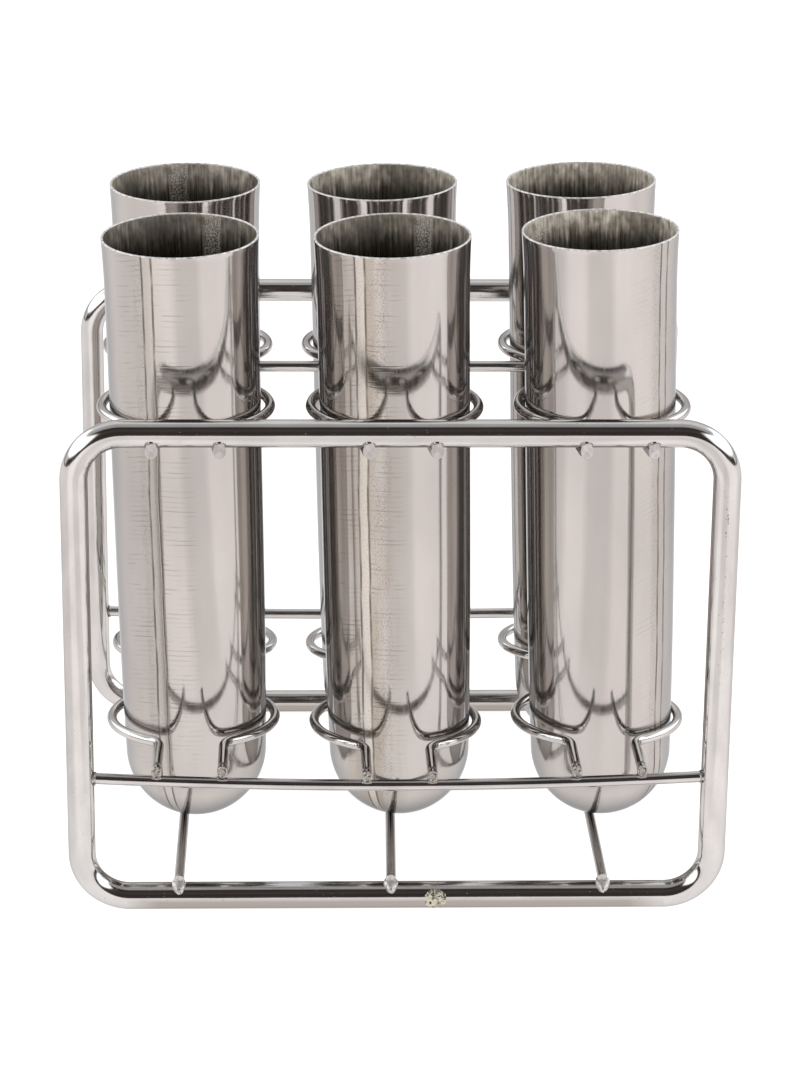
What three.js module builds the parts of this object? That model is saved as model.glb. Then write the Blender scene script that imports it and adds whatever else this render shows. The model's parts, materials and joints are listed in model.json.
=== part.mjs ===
// Stainless steel ice pop mould: six round-bottomed tubes standing loose in a welded wire rack.
// Millimetres, +Z up. The front of the rack faces -Y. The origin is on the surface that the
// rack stands on, under its middle.
import * as THREE from 'three';

// Loops: the two upright rounded rectangles at the front and the back
const FRONT_LOOP_ROD = 6;
const BACK_LOOP_ROD = 5.4;
const LOOP_WIDTH = 139.4;
const FRONT_LOOP_HEIGHT = 108.1;
const BACK_LOOP_HEIGHT = 107.45;
const LOOP_BEND_RADIUS = 10.5;
const RACK_DEPTH = 112.2;

// How much further left the back loop stands than the front one
const RACK_SKEW = 1.9;

// Crossbars and bottom rods
const CROSSBAR_ROD = 2.5;
const BOTTOM_ROD = 2.2;
const FRONT_BAR_END_HEIGHT = 31.6;
const FRONT_BAR_BOW = 1.85;
const BACK_BAR_END_HEIGHT = 26.9;
const BACK_BAR_BOW = 0.9;
const MIDDLE_BAR_LENGTH = 112;
const ROD_OVERHANG = 2.8;

// Tube places: columns run along X, rows along Y
const COLUMN_SPACING = 46.1;
const ROW_SPACING = 42.2;

// Rings: wire bent round a tube, with two legs that run out to the loop. The closed ends of the
// front upper rings reach further in than their radius, to the middle crossbar.
const RING_WIRE = 2.2;
const RING_RADIUS = 18.6;
const FRONT_UPPER_RING_REACH = 20.2;
const RING_BEND_RADIUS = 3;
const LEG_SPACING = 14.4;
const LEG_TIP_SHIFT = 0.3;
const UPPER_LEG_OVERHANG = 1.2;
const LOWER_LEG_OVERHANG = 1.6;
const LOWER_RING_SHIFT = 0.9;

// How much higher the closed end of a ring lies than its legs at the loop
const FRONT_UPPER_RING_RISE = -0.8;
const BACK_UPPER_RING_RISE = 1.55;
const FRONT_LOWER_RING_RISE = -2.9;
const BACK_LOWER_RING_RISE = 6;

// Tubes, the shortest of them from the outside of the round bottom to the rim
const TUBE_LENGTH = 137.4;
const TUBE_TOP_RADIUS = 16.8;
const TUBE_BOTTOM_RADIUS = 16;
const RIM_RADIUS = 17.2;
const RIM_FLARE_LENGTH = 13;
const TUBE_WALL = 0.8;
const RIM_WALL = 0.6;

// Spacing kept between welded pieces, and under the tubes, which lean
const WELD_GAP = 0.12;
const REST_GAP = 0.25;

// Steps of the faceted shapes
const LOOP_SIDES = 12;
const LOOP_BEND_STEPS = 5;
const WIRE_SIDES = 8;
const BAR_STEPS = 8;
const RING_STEPS = 24;
const RING_BEND_STEPS = 3;
const TUBE_SIDES = 24;
const DOME_STEPS = 5;

// Each column's name and place, and how far its bottom rod lies off the column at its front and back end
const COLUMNS = [
  { name: 'left', side: -1, rodFront: -1.3, rodBack: -0.6 },
  { name: 'middle', side: 0, rodFront: -0.5, rodBack: 1.9 },
  { name: 'right', side: 1, rodFront: 0.5, rodBack: -0.3 },
];

// The tubes stand loose. All along X and Y: foot is how far the middle of the round bottom lies off
// its place, lean how far the middle of the rim lies off the foot, and ring how far the upper ring
// lies off its place. longer is how much longer a tube is than the shortest.
const TUBES = [
  { row: 'front', column: 'left', longer: 0, foot: [1.8, 0.35], lean: [-2.3, -2.9], ring: [0, -1] },
  { row: 'front', column: 'middle', longer: 0, foot: [2.2, 0.5], lean: [-2.65, -2.85], ring: [0, -1] },
  { row: 'front', column: 'right', longer: 0.8, foot: [2.35, 0.1], lean: [-3.5, -0.35], ring: [0, -0.3] },
  { row: 'back', column: 'left', longer: 0.65, foot: [0.55, 0.65], lean: [-1.15, -1.6], ring: [0, 0] },
  { row: 'back', column: 'middle', longer: 0.6, foot: [1.15, -0.25], lean: [-2.8, 0.45], ring: [-0.1, 0] },
  { row: 'back', column: 'right', longer: 1.05, foot: [1.3, -0.35], lean: [-3.4, 1.1], ring: [-0.5, 0.2] },
];

// Heights and places that follow from the dimensions above
const LEG_ON_BAR = CROSSBAR_ROD / 2 + WELD_GAP + RING_WIRE / 2;
const ROWS = { front: -1, back: 1 };

const quarterTurn = Math.PI / 2;
const assembly = new THREE.Group();

// A path through listed points, which are also its steps, however far apart they lie
class WirePath extends THREE.Curve {
  constructor(points, closed) {
    super();
    this.points = points;
    this.closed = closed;
  }

  getPoint(t, target = new THREE.Vector3()) {
    const last = this.points.length - 1;
    const place = t * last;
    const before = Math.min(Math.floor(place), last - 1);
    return target.lerpVectors(this.points[before], this.points[before + 1], place - before);
  }

  getPointAt(u, target) {
    return this.getPoint(u, target);
  }

  // Halfway between the directions of the two runs that meet at a point
  getTangentAt(u, target = new THREE.Vector3()) {
    const runs = this.points.length - 1;
    const index = Math.round(u * runs);
    const wrap = (run) => (this.closed ? (run + runs) % runs : THREE.MathUtils.clamp(run, 0, runs - 1));
    const direction = (run) => new THREE.Vector3().subVectors(this.points[run + 1], this.points[run]).normalize();
    return target.addVectors(direction(wrap(index - 1)), direction(wrap(index))).normalize();
  }
}

// A round section drawn as a polygon whose flats lie at the true radius
function roundSection(diameter, sides) {
  const corner = diameter / 2 / Math.cos(Math.PI / sides);
  const points = [];
  for (let i = 0; i < sides; i += 1) {
    const angle = ((i + 0.5) * 2 * Math.PI) / sides;
    points.push(new THREE.Vector2(corner * Math.cos(angle), corner * Math.sin(angle)));
  }
  return new THREE.Shape(points);
}

function wire(points, diameter, sides, closed = false) {
  return new THREE.ExtrudeGeometry(roundSection(diameter, sides), {
    steps: points.length - 1,
    bevelEnabled: false,
    extrudePath: new WirePath(points, closed),
  });
}

// A wire whose end meets its start: only the sides are kept, because the two ends lie on each other
function closedWire(points, diameter, sides) {
  const swept = wire(points, diameter, sides, true);
  const side = swept.groups.find((group) => group.materialIndex === 1);
  const positions = swept.getAttribute('position').array.slice(3 * side.start, 3 * (side.start + side.count));
  const geometry = new THREE.BufferGeometry();
  geometry.setAttribute('position', new THREE.BufferAttribute(positions, 3));
  geometry.computeVertexNormals();
  return geometry;
}

// Points on an arc in a plane, as pairs, from one angle to another
function arc(centre, radius, from, to, steps) {
  const points = [];
  for (let i = 0; i <= steps; i += 1) {
    const angle = from + ((to - from) * i) / steps;
    points.push([centre[0] + radius * Math.cos(angle), centre[1] + radius * Math.sin(angle)]);
  }
  return points;
}

function addPart(name, geometry, material) {
  const mesh = new THREE.Mesh(geometry, material);
  mesh.name = name;
  assembly.add(mesh);
  return mesh;
}

function steel(color, roughness) {
  return new THREE.MeshStandardMaterial({ color, roughness, metalness: 1 });
}

function columnPlace(column) {
  return column.side * COLUMN_SPACING;
}

function rowPlace(row) {
  return (ROWS[row] * ROW_SPACING) / 2;
}

function loopPlane(row) {
  return (ROWS[row] * RACK_DEPTH) / 2;
}

function loopRod(row) {
  return row === 'front' ? FRONT_LOOP_ROD : BACK_LOOP_ROD;
}

// Height of the middle line of a loop's top bar
function topBarHeight(row) {
  return loopRod(row) / 2 + (row === 'front' ? FRONT_LOOP_HEIGHT : BACK_LOOP_HEIGHT);
}

// Height of the middle line of an upper ring's legs, under the top bar
function upperLegHeight(row) {
  return topBarHeight(row) - loopRod(row) / 2 - WELD_GAP - RING_WIRE / 2;
}

// Length of a lower crossbar, between the uprights
function barLength(row) {
  return LOOP_WIDTH - loopRod(row) - 2 * WELD_GAP;
}

// Height of a bottom rod's middle line, which lies on both bottom bars
function bottomRodHeight(y) {
  const onFront = FRONT_LOOP_ROD + WELD_GAP + BOTTOM_ROD / 2;
  const onBack = BACK_LOOP_ROD + WELD_GAP + BOTTOM_ROD / 2;
  return onFront + (onBack - onFront) * (y / RACK_DEPTH + 0.5);
}

// How far the rack's skew carries a piece sideways at a depth
function skewAt(y) {
  return (-RACK_SKEW * y) / RACK_DEPTH;
}

// Height of a lower crossbar's middle line, at a distance from its middle, where it bows down
function barHeight(row, distance) {
  const end = row === 'front' ? FRONT_BAR_END_HEIGHT : BACK_BAR_END_HEIGHT;
  const bow = row === 'front' ? FRONT_BAR_BOW : BACK_BAR_BOW;
  const reach = distance / (barLength(row) / 2);
  return end - bow * (1 - reach * reach);
}

// One loop: a rounded rectangle of thick rod, its ends butted together in the bottom bar
function loopGeometry(row) {
  const right = LOOP_WIDTH / 2 - LOOP_BEND_RADIUS;
  const low = loopRod(row) / 2 + LOOP_BEND_RADIUS;
  const high = topBarHeight(row) - LOOP_BEND_RADIUS;
  const corners = [[right, low], [right, high], [-right, high], [-right, low]];
  const start = [0, loopRod(row) / 2];
  const outline = [start];
  corners.forEach((corner, i) => {
    const from = (i - 1) * quarterTurn;
    outline.push(...arc(corner, LOOP_BEND_RADIUS, from, from + quarterTurn, LOOP_BEND_STEPS));
  });
  outline.push(start);
  const y = loopPlane(row);
  const points = outline.map(([x, z]) => new THREE.Vector3(x + skewAt(y), y, z));
  return closedWire(points, loopRod(row), LOOP_SIDES);
}

// A lower crossbar: a thin rod bowed down a little between a loop's uprights
function lowerCrossbarGeometry(row) {
  const y = loopPlane(row);
  const points = [];
  for (let i = 0; i <= BAR_STEPS; i += 1) {
    const x = barLength(row) * (i / BAR_STEPS - 0.5);
    points.push(new THREE.Vector3(x + skewAt(y), y, barHeight(row, x)));
  }
  return wire(points, CROSSBAR_ROD, WIRE_SIDES);
}

// The middle crossbar lies against the closed ends of the back row's upper rings, over those of the front row
function middleCrossbarGeometry() {
  const ringEnd = ROW_SPACING / 2 - RING_RADIUS;
  const apart = LEG_ON_BAR + WELD_GAP;
  const rise = Math.sqrt(apart * apart - ringEnd * ringEnd);
  const height = upperLegHeight('back') + BACK_UPPER_RING_RISE + rise;
  const half = MIDDLE_BAR_LENGTH / 2;
  const points = [new THREE.Vector3(-half, 0, height), new THREE.Vector3(half, 0, height)];
  return wire(points, CROSSBAR_ROD, WIRE_SIDES);
}

// A bottom rod lies across both bottom bars, under one column of tubes
function bottomRodGeometry(column) {
  const reach = RACK_DEPTH / 2 + ROD_OVERHANG;
  const place = columnPlace(column);
  const front = new THREE.Vector3(place + column.rodFront, -reach, bottomRodHeight(-reach));
  const back = new THREE.Vector3(place + column.rodBack, reach, bottomRodHeight(reach));
  return wire([front, back], BOTTOM_ROD, WIRE_SIDES);
}

// Half of a ring, seen from above with the legs towards -Y: the bend at the root of a leg, and the
// angle where the bend runs into the ring. side is -1 for the left leg, 1 for the right leg.
function legBend(side) {
  const bendX = LEG_SPACING / 2 + RING_BEND_RADIUS;
  const bendReach = RING_RADIUS + RING_BEND_RADIUS;
  const bendY = -Math.sqrt(bendReach * bendReach - bendX * bendX);
  const meeting = Math.atan2(-bendY, bendX);
  const bend = arc([-bendX, bendY], RING_BEND_RADIUS, 0, meeting, RING_BEND_STEPS);
  return { points: bend.map(([x, y]) => [-side * x, y]), meeting };
}

// A ring with its two legs, in a plane that tilts from the height of the legs at the loop to the
// height of the ring's closed end. centre is the ring's middle along X and Y, reach the distance
// from there to the closed end.
function ringGeometry(row, column, { centre, reach, legHeight, rise, overhang }) {
  const outward = ROWS[row];
  const left = legBend(-1);
  const right = legBend(1);
  const ring = arc([0, 0], RING_RADIUS, Math.PI + left.meeting, -right.meeting, RING_STEPS).slice(1, -1);
  const rounded = ring.map(([x, y]) => [x, y > 0 ? (y * reach) / RING_RADIUS : y]);
  const outline = [...left.points, ...rounded, ...right.points.reverse()];
  const placed = outline.map(([x, y]) => [centre[0] + x, centre[1] - outward * y]);
  const tipY = loopPlane(row) + outward * overhang;
  const tipX = columnPlace(column) + skewAt(tipY) + LEG_TIP_SHIFT;
  const run = [[tipX - LEG_SPACING / 2, tipY], ...placed, [tipX + LEG_SPACING / 2, tipY]];
  const legRun = outward * (loopPlane(row) - centre[1]) + reach;
  const points = run.map(([x, y]) => {
    const along = outward * (loopPlane(row) - y);
    return new THREE.Vector3(x, y, legHeight + (rise * along) / legRun);
  });
  return wire(row === 'front' ? points : points.reverse(), RING_WIRE, WIRE_SIDES);
}

function upperRingGeometry({ row, ring }, column) {
  const y = rowPlace(row) + ring[1];
  return ringGeometry(row, column, {
    centre: [columnPlace(column) + skewAt(y) + ring[0], y],
    reach: row === 'front' ? FRONT_UPPER_RING_REACH : RING_RADIUS,
    legHeight: upperLegHeight(row),
    rise: row === 'front' ? FRONT_UPPER_RING_RISE : BACK_UPPER_RING_RISE,
    overhang: UPPER_LEG_OVERHANG,
  });
}

// Lower legs lie on the crossbar
function lowerRingGeometry({ row }, column) {
  const y = rowPlace(row);
  const outerLeg = Math.abs(columnPlace(column)) + LEG_SPACING / 2 + LEG_TIP_SHIFT;
  return ringGeometry(row, column, {
    centre: [columnPlace(column) + skewAt(y) + LOWER_RING_SHIFT, y],
    reach: RING_RADIUS,
    legHeight: barHeight(row, outerLeg) + LEG_ON_BAR,
    rise: row === 'front' ? FRONT_LOWER_RING_RISE : BACK_LOWER_RING_RISE,
    overhang: LOWER_LEG_OVERHANG,
  });
}

// A tube with its round bottom, turned about its own axis, with the middle of the dome at the origin
// and the rim at a height above it
function tubeGeometry(rim) {
  const flareStart = rim - RIM_FLARE_LENGTH;
  const flareMiddle = rim - RIM_FLARE_LENGTH / 3;
  const flareRadius = TUBE_TOP_RADIUS + (RIM_RADIUS - TUBE_TOP_RADIUS) / 3;
  const innerDome = TUBE_BOTTOM_RADIUS - TUBE_WALL;
  const outside = [
    ...arc([0, 0], TUBE_BOTTOM_RADIUS, -quarterTurn, 0, DOME_STEPS),
    [TUBE_TOP_RADIUS, flareStart],
    [flareRadius, flareMiddle],
    [RIM_RADIUS, rim],
  ];
  const inside = [
    [RIM_RADIUS - RIM_WALL, rim],
    [flareRadius - TUBE_WALL, flareMiddle],
    [TUBE_TOP_RADIUS - TUBE_WALL, flareStart],
    ...arc([0, 0], innerDome, 0, -quarterTurn, DOME_STEPS),
  ];
  const profile = [...outside, ...inside].map(([r, z]) => new THREE.Vector2(Math.max(r, 0), z));
  profile[0].x = 0;
  profile[profile.length - 1].x = 0;
  return new THREE.LatheGeometry(profile, TUBE_SIDES).rotateX(quarterTurn);
}

function addTube(tube, column) {
  const rim = TUBE_LENGTH + tube.longer - TUBE_BOTTOM_RADIUS;
  const mesh = addPart(`tube_${tube.row}_${tube.column}`, tubeGeometry(rim), steel(0xc4bdb8, 0.24));
  const x = columnPlace(column) + tube.foot[0];
  const y = rowPlace(tube.row) + tube.foot[1];
  const z = bottomRodHeight(y) + BOTTOM_ROD / 2 + REST_GAP + TUBE_BOTTOM_RADIUS;
  mesh.position.set(x, y, z);
  const up = new THREE.Vector3(0, 0, 1);
  const axis = new THREE.Vector3(tube.lean[0], tube.lean[1], rim).normalize();
  mesh.quaternion.setFromUnitVectors(up, axis);
}

for (const row of Object.keys(ROWS)) {
  addPart(`${row}_loop`, loopGeometry(row), steel(0xcac6c2, 0.16));
  addPart(`${row}_lower_crossbar`, lowerCrossbarGeometry(row), steel(0xb9b4b0, 0.2));
}
addPart('middle_upper_crossbar', middleCrossbarGeometry(), steel(0xb9b4b0, 0.2));
for (const column of COLUMNS) {
  addPart(`bottom_rod_${column.name}`, bottomRodGeometry(column), steel(0xb4afaa, 0.22));
}
for (const tube of TUBES) {
  const column = COLUMNS.find(({ name }) => name === tube.column);
  const place = `${tube.row}_${tube.column}`;
  addPart(`upper_ring_${place}`, upperRingGeometry(tube, column), steel(0xbdb8b2, 0.2));
  addPart(`lower_ring_${place}`, lowerRingGeometry(tube, column), steel(0xbdb8b2, 0.2));
  addTube(tube, column);
}

export default assembly;
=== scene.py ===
"""Looks of an ice pop mould: six steel tubes standing in a rack of welded wire."""

import json
import math

import bmesh
import bpy
import numpy as np
from mathutils import Matrix, Vector
from mathutils import noise as noise_field


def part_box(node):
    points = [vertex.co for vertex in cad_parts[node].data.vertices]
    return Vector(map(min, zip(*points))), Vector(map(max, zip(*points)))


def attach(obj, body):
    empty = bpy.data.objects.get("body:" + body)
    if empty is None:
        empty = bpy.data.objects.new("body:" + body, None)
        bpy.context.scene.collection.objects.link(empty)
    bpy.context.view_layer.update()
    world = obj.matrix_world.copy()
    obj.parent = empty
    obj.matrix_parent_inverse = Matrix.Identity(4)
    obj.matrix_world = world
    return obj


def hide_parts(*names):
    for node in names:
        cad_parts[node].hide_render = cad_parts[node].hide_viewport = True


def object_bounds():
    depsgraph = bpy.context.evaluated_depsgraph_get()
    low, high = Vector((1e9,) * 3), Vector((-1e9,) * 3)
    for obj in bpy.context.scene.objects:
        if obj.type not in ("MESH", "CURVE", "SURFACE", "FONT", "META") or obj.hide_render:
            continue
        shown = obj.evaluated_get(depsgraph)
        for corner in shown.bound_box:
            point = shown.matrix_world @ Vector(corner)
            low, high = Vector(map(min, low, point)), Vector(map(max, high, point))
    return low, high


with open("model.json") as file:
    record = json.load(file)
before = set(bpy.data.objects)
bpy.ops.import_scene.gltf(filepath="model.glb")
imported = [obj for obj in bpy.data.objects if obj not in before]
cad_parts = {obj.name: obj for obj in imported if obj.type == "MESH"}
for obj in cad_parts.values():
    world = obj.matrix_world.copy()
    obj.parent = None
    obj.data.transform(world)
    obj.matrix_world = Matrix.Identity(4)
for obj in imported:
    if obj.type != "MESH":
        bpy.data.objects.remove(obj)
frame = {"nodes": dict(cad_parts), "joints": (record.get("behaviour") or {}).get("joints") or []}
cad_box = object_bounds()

MM = 0.001

# Rows and columns of tubes, each row with the way its legs run
ROWS = {"front": -1, "back": 1}
COLUMNS = ("left", "middle", "right")

# Fineness of round sections and bends
ROD_SIDES = 48
WIRE_SIDES = 28
TUBE_SIDES = 160
FLOOR_SIDES = 64
BEND_STEPS = 24
HALF_RING_STEPS = 48
FILLET_STEPS = 14
CROSSBAR_STEPS = 91
MIDDLE_CROSSBAR_STEPS = 81
DOME_STEPS = 32
WALL_STEPS = 30
FLARE_STEPS = 14
LIP_STEPS = 8
FLOOR_STEPS = 12
RUN_STEP = 1.0 * MM
LEG_STEP = 0.5 * MM

# Fineness and unevenness of welds
LUMP_ROWS = 17
LUMP_SIDES = 24
LUMP_UNEVENNESS = 0.16
BUTT_WELD_ROWS = 49
BUTT_WELD_SIDES = 96

# Vertices this close to an extreme of a node belong to it
TOUCH = 0.05 * MM
TIP_TOUCH = 0.4 * MM

# Points of a surface this close are one point
MERGE_DISTANCE = 2.5e-6 * MM

# Sides of a round wire among the solids
CAD_WIRE_SIDES = 8

# Loops
LOOP_BEND = 10.5 * MM
LOOP_SETBACK = 0.35 * MM

# A line of pits on the front of the front loop's right upright
SCAR_HEIGHT = 75 * MM
SCAR_LENGTH = 42 * MM
SCAR_WIDTH = 0.7 * MM

# The butt weld on the front loop's bottom bar
BUTT_WELD_X = 9.3 * MM
BUTT_WELD_WIDTH = 4.8 * MM
BUTT_WELD_PROUD = 0.4 * MM
BUTT_WELD_SINK = 0.06 * MM
BUTT_WELD_SPREAD = math.radians(62)

# Crossbars: how far the lower ones run into the uprights and, in their own radii,
# how far the middle one's ends draw in and the size of a weld at a lower one's end
CROSSBAR_SUNK = 0.8 * MM
MIDDLE_CROSSBAR_INSET = 0.25
CROSSBAR_WELD = (0.55, 1.12, 1.2)

# Bottom rods: how far their wire ends from the solid's ends, in radii of the front loop's rod
BOTTOM_ROD_INSET = 0.7

# Pads at the bottom rods' ends: size, how proud and how far back they lie, in radii, taper and lean
PAD_SIZE = (1.35, 0.75, 2.0)
PAD_PROUD = 0.2
PAD_BACK = 0.3
PAD_TAPER = -0.3
PAD_LEAN = math.radians(60)

# Rings
FRONT_UPPER_STRETCH = 1.086
LEG_FILLET = 4.6 * MM
UPPER_TIP_RISE = 1.25 * MM
TIP_RUN = 3.4 * MM
TIP_FLAT = 1.2 * MM
UPPER_TIP_INSET = 0.27 * MM
LOWER_TIP_INSET = 0.26 * MM

# Share of a leg, from its tip, over which it shifts from the tips' middle to the ring's
LEG_SHIFT = 0.2

# Growth of a leg's wire at its tip, upright and across
UPPER_TIP_GROWTH = (0.62, 0.27)
LOWER_TIP_GROWTH = (0.3, 0.06)

# Welds under a lower ring's leg and at an upper ring's closed end
LEG_WELD = (1.1 * MM, 1.2 * MM, 0.5 * MM)
LEG_WELD_DROP = 0.9
CLOSED_END_WELD = (1.4 * MM, 0.6 * MM, 0.6 * MM)

# Shape of a wire's end: distance past the end and share of the radius left
CUT_END = ((0.0, 1.0), (0.03, 0.99), (0.06, 0.96), (0.07, 0.92), (0.07, 0.88), (0.07, 0.5), (0.07, 0.0))
HOLLOW_END = ((0.0, 1.0), (0.12, 0.98), (0.2, 0.9), (0.2, 0.8), (0.1, 0.68), (-0.1, 0.5), (-0.15, 0.0))

# Texture length between two steps of a wire's end, beside the loss of radius, in radii
END_STEP = 0.1

# Tubes
FLARE_LENGTH = 13.0 * MM
FLARE_CURVE = 1.7
TUBE_WALL = 0.8 * MM
RIM_WALL = 0.55 * MM
TUBE_SETTLE = 0.2 * MM

# The wall stands this far outside a straight taper, a third of the way up, and less elsewhere
WALL_SWELL = 0.28 * MM
SWELL_SCALE = 27 / 4

# For each tube: where a seam faces, in degrees right of the camera, and the side of it that is worn,
# -1 for the left. Then, as shares of the most: how marked the wall is beside the seam, how browned it is,
# and how strong the painted light in the tube's mouth is
TUBE_LOOKS = {
    "tube_front_left": (-26, -1, 0.8, 0.2, 0.5),
    "tube_front_middle": (-25, 1, 1.0, 0.95, 0.6),
    "tube_front_right": (54, -1, 0.25, 0.15, 1.0),
    "tube_back_left": (5, -1, 0.5, 0.3, 0.7),
    "tube_back_middle": (70, -1, 0.5, 0.3, 0.8),
    "tube_back_right": (-75, -1, 0.5, 0.3, 0.9),
}

# Name of the texture coordinates: metres along and around a piece
LAY = "lay"

# Sockets of a mix node that take and give colours
MIX_FIRST = 6
MIX_SECOND = 7
MIX_RESULT = 2

# Tint of the metal seen at a slant, on the rack and on the tubes
EDGE_TINT = (0.6, 0.6, 0.6, 1.0)
TUBE_EDGE_TINT = (0.54, 0.57, 0.6, 1.0)

# How metallic the tubes' outsides and lips look
TUBE_METAL = 0.96
LIP_METAL = 0.35

# Depth of the finest relief
WIRE_RELIEF = 0.06 * MM
TUBE_RELIEF = 0.08 * MM
BORE_RELIEF = 0.05 * MM

# Pits in the wire: how sharp their edges are, and their tone as a share of the wire's dark one
PIT_EDGE = 0.05
PIT_SHADE = 0.35

# Painted shade on the undersides of the loops' bottom bars: where round the rod and along the bar it lies,
# and its tone
UNDERSIDE_SHADE_TURNS = ((0.46, 0.0), (0.52, 1.0), (0.78, 1.0), (0.85, 0.0))
UNDERSIDE_SHADE_REACH = ((0.0, 0.0), (0.06, 1.0), (0.94, 1.0), (1.0, 0.0))
UNDERSIDE_SHADE_TONE = (0.37, 0.335, 0.31)

# A tube's seam: half its width, how far it strays, and the reach of its edge lines and of its band
SEAM_HALF = 1.15 * MM
SEAM_STRAY = 1.0 * MM
SEAM_LINE_REACH = 1.0 * MM
SEAM_BAND_REACH = 4.0 * MM

# The worn strip beside a seam: its place and width, each with what a fully browned wall adds
WORN_PLACE = (1.9 * MM, 2.0 * MM)
WORN_WIDTH = (2.0 * MM, 3.0 * MM)

# Tool marks across a tube's wall, and how far the browning beside a seam reaches
MARK_PITCH = 1.15 * MM
MARK_SLANT = -0.22
MARK_REACH = 16.0 * MM
BROWN_REACH = 10.0 * MM

# Tones of the tubes' outsides; the last one is a painted shade for the lower part of the round end
WALL_TONES = ((0.465, 0.437, 0.416), (0.505, 0.476, 0.455))
BROWN_TONE = (0.36, 0.315, 0.265)
SEAM_TONE = (0.62, 0.58, 0.53)
SEAM_LINE_TONE = (0.1, 0.082, 0.068)
MARK_TONE = (0.2, 0.18, 0.165)
SPECK_TONE = (0.2, 0.175, 0.15)
DOME_PAINTED_SHADE = (0.17, 0.158, 0.15)

# Inside of the tubes: least and added reach of the painted light at the mouth, reach of the speckled band
# at a seam, and the depth on which the change to clean steel is measured
MOUTH_LIGHT_REACH = (1.5 * MM, 18.0 * MM)
BORE_BAND_REACH = 6.0 * MM
CLEAN_DEPTH = 60 * MM

# Tones of the tubes' insides and lips; the mouth's tone is painted light
BORE_TONES = ((0.125, 0.11, 0.09), (0.195, 0.176, 0.15))
CLEAN_TONE = (0.82, 0.8, 0.775)
MOUTH_LIGHT_TONE = (0.76, 0.69, 0.595)
BORE_SPECK_TONE = (0.72, 0.68, 0.62)
LIP_TONES = ((0.37, 0.356, 0.342), (0.69, 0.676, 0.662))

# Camera matched to the photograph
CAMERA_EYE = Vector((-22.327, -768.657, 350.340)) * MM
CAMERA_YAW = 0.032396
CAMERA_PITCH = -0.351821
CAMERA_ROLL = 0.010144
CAMERA_LENS = 119.703
CAMERA_NEAREST = 0.01

# Floor: its size and tones, and the tint of its glow far off and near the part
FLOOR_REACH = 4.0
FLOOR_TONES = ((0.33, 0.315, 0.31), (0.36, 0.345, 0.34))
FAR_TINT = (1.0, 0.96, 0.955)
NEAR_TINT = (1.0, 0.985, 0.98)

# Glow of the floor, its glow near the part, and the distances between which one gives way to the other
FLOOR_GLOW = 0.62
NEAR_GLOW = 0.9
NEAR_REACH = (0.09, 0.15)

# Brightness of the floor by direction, from the right, counter-clockwise: back, left, front
FLOOR_SECTORS = (
    (0.0, 1.2),
    (0.04, 1.35),
    (0.25, 1.4),
    (0.44, 1.3),
    (0.5, 1.1),
    (0.57, 1.05),
    (0.6, 1.1),
    (0.63, 1.55),
    (0.695, 1.55),
    (0.72, 1.08),
    (0.795, 1.08),
    (0.82, 1.55),
    (0.95, 1.5),
    (1.0, 1.2),
)

# The highest brightness above, so that the floor's ramps stay between 0 and 1
FLOOR_PEAK = 1.55

# Brightness of the floor by distance in metres
FLOOR_FADE = ((0.2, 1.0), (0.28, 0.84), (0.4, 1.0))

# Brightness of the studio from the front horizon, over the top, to the back horizon
WORLD_ARCH = (
    (0.0, 0.07),
    (0.12, 0.045),
    (0.22, 0.08),
    (0.375, 0.04),
    (0.41, 0.46),
    (0.56, 0.62),
    (0.6, 1.0),
    (0.74, 1.0),
    (0.8, 0.9),
    (0.88, 0.85),
    (0.94, 0.75),
    (1.0, 0.6),
)

# Tint of the studio's dark and of its bright parts
WORLD_TINT = ((0.1, (1.0, 0.85, 0.8)), (0.4, (0.985, 0.995, 1.0)))

# Soft boxes at the sides: their heights, how far aside they start, and their brightness
SIDE_HEIGHTS = ((0.12, 0.0), (0.2, 1.0), (0.62, 1.0), (0.72, 0.0))
SIDE_REACH = ((0.45, 0.0), (0.58, 1.0))
SIDE_LIGHT = 2.4

# Lamps: place, width and power
OVERHEAD_LAMP = ((0, 0.2, 2.2), 2.4, 3.4)
FILL_LAMP = ((0, -1.5, 1.2), 1.0, 16)


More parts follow.
